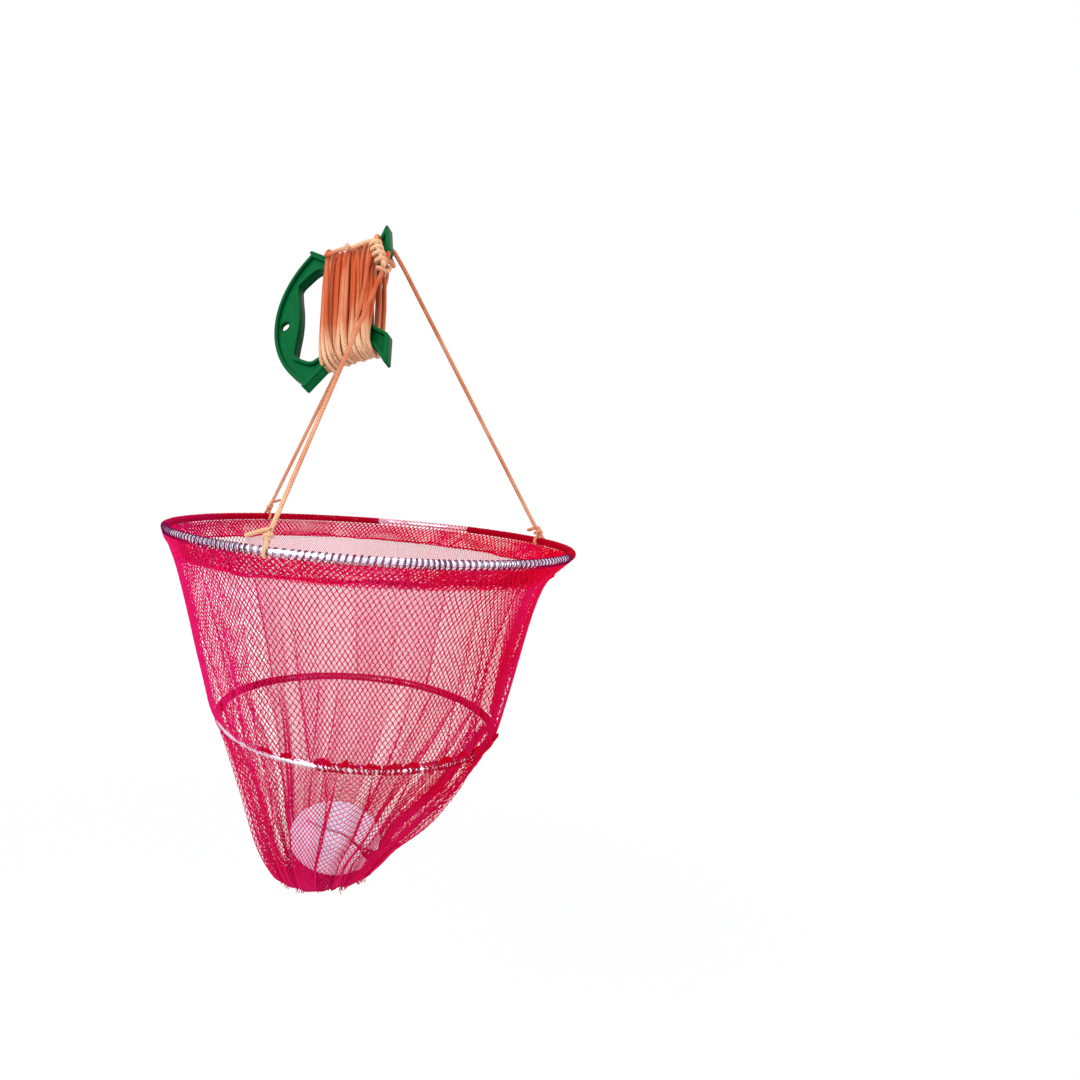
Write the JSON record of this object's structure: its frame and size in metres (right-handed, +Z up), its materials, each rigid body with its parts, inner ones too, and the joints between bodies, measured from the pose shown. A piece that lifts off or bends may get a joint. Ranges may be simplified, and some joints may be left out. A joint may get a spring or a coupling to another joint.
{
  "type": "crab hoop net",
  "caption": "Drop net for crabs: netting bag on two wire hoops, slit base disc, three-leg cord bridle and hand line wound on a D-grip winder.",
  "frame": {"origin": "middle of the winder's hand grip, at its lanyard hole, where the net is held up", "axes": "+Z up along the hoops' axis, +X to the right in the pictured view, +Y away from the viewer"},
  "size_m": [0.3062, 0.3063, 0.5179],
  "materials": {
    "winder_frame": "smooth glossy moulded plastic",
    "line_core": "braided cord layers",
    "line_winding": "braided cord",
    "line_hitch": "braided cord",
    "line_lead": "braided cord",
    "bridle_loop": "braided cord",
    "mouth_hem": "doubled knotless netting",
    "upper_hoop": "bright wire",
    "upper_net_wall": "knotless netting",
    "side_seam_upper": "doubled sewn netting",
    "bridle_leg_front": "braided cord",
    "bridle_leg_back": "braided cord",
    "bridle_leg_right": "braided cord",
    "hoop_knot_front": "tied braided cord",
    "hoop_knot_back": "tied braided cord",
    "hoop_knot_right": "tied braided cord",
    "lower_hoop": "bright wire",
    "lower_hoop_casing": "gathered knotless netting",
    "lower_net_wall": "knotless netting",
    "side_seam_lower": "doubled sewn netting",
    "bag_gather": "bunched netting",
    "bottom_tie": "twine",
    "base_disc": "smooth pale plastic"
  },
  "bodies": {
    "winder": {"winder_frame": "winder_frame", "line_core": "line_core", "line_winding": "line_winding", "line_hitch": "line_hitch", "line_lead": "line_lead", "bridle_loop": "bridle_loop"},
    "upper_net": {"mouth_hem": "mouth_hem", "upper_hoop": "upper_hoop", "upper_net_wall": "upper_net_wall", "side_seam_upper": "side_seam_upper", "bridle_leg_front": "bridle_leg_front", "bridle_leg_back": "bridle_leg_back", "bridle_leg_right": "bridle_leg_right", "hoop_knot_front": "hoop_knot_front", "hoop_knot_back": "hoop_knot_back", "hoop_knot_right": "hoop_knot_right"},
    "lower_net": {"lower_hoop": "lower_hoop", "lower_hoop_casing": "lower_hoop_casing", "lower_net_wall": "lower_net_wall", "side_seam_lower": "side_seam_lower"},
    "bag_end": {"bag_gather": "bag_gather", "bottom_tie": "bottom_tie"},
    "disc": {"base_disc": "base_disc"}
  },
  "joints": [
    {"name": "net_swing", "type": "hinge", "parent": "winder", "child": "upper_net", "pos_m": [0.07291, -0.01814, 0.05083], "axis": [0.5225, 0.8526, 0], "range_deg": [-14, 8]},
    {"name": "hoop_collapse", "type": "slide", "parent": "upper_net", "child": "lower_net", "axis": [0, 0, 1], "range_m": [0, 0.112]},
    {"name": "bag_lift", "type": "slide", "parent": "lower_net", "child": "bag_end", "axis": [0, 0, 1], "range_m": [0, 0.1]},
    {"name": "disc_rock", "type": "hinge", "parent": "bag_end", "child": "disc", "pos_m": [0.06341, -0.01814, -0.40217], "axis": [1, 0, 0], "range_deg": [-24, 6]}
  ]
}
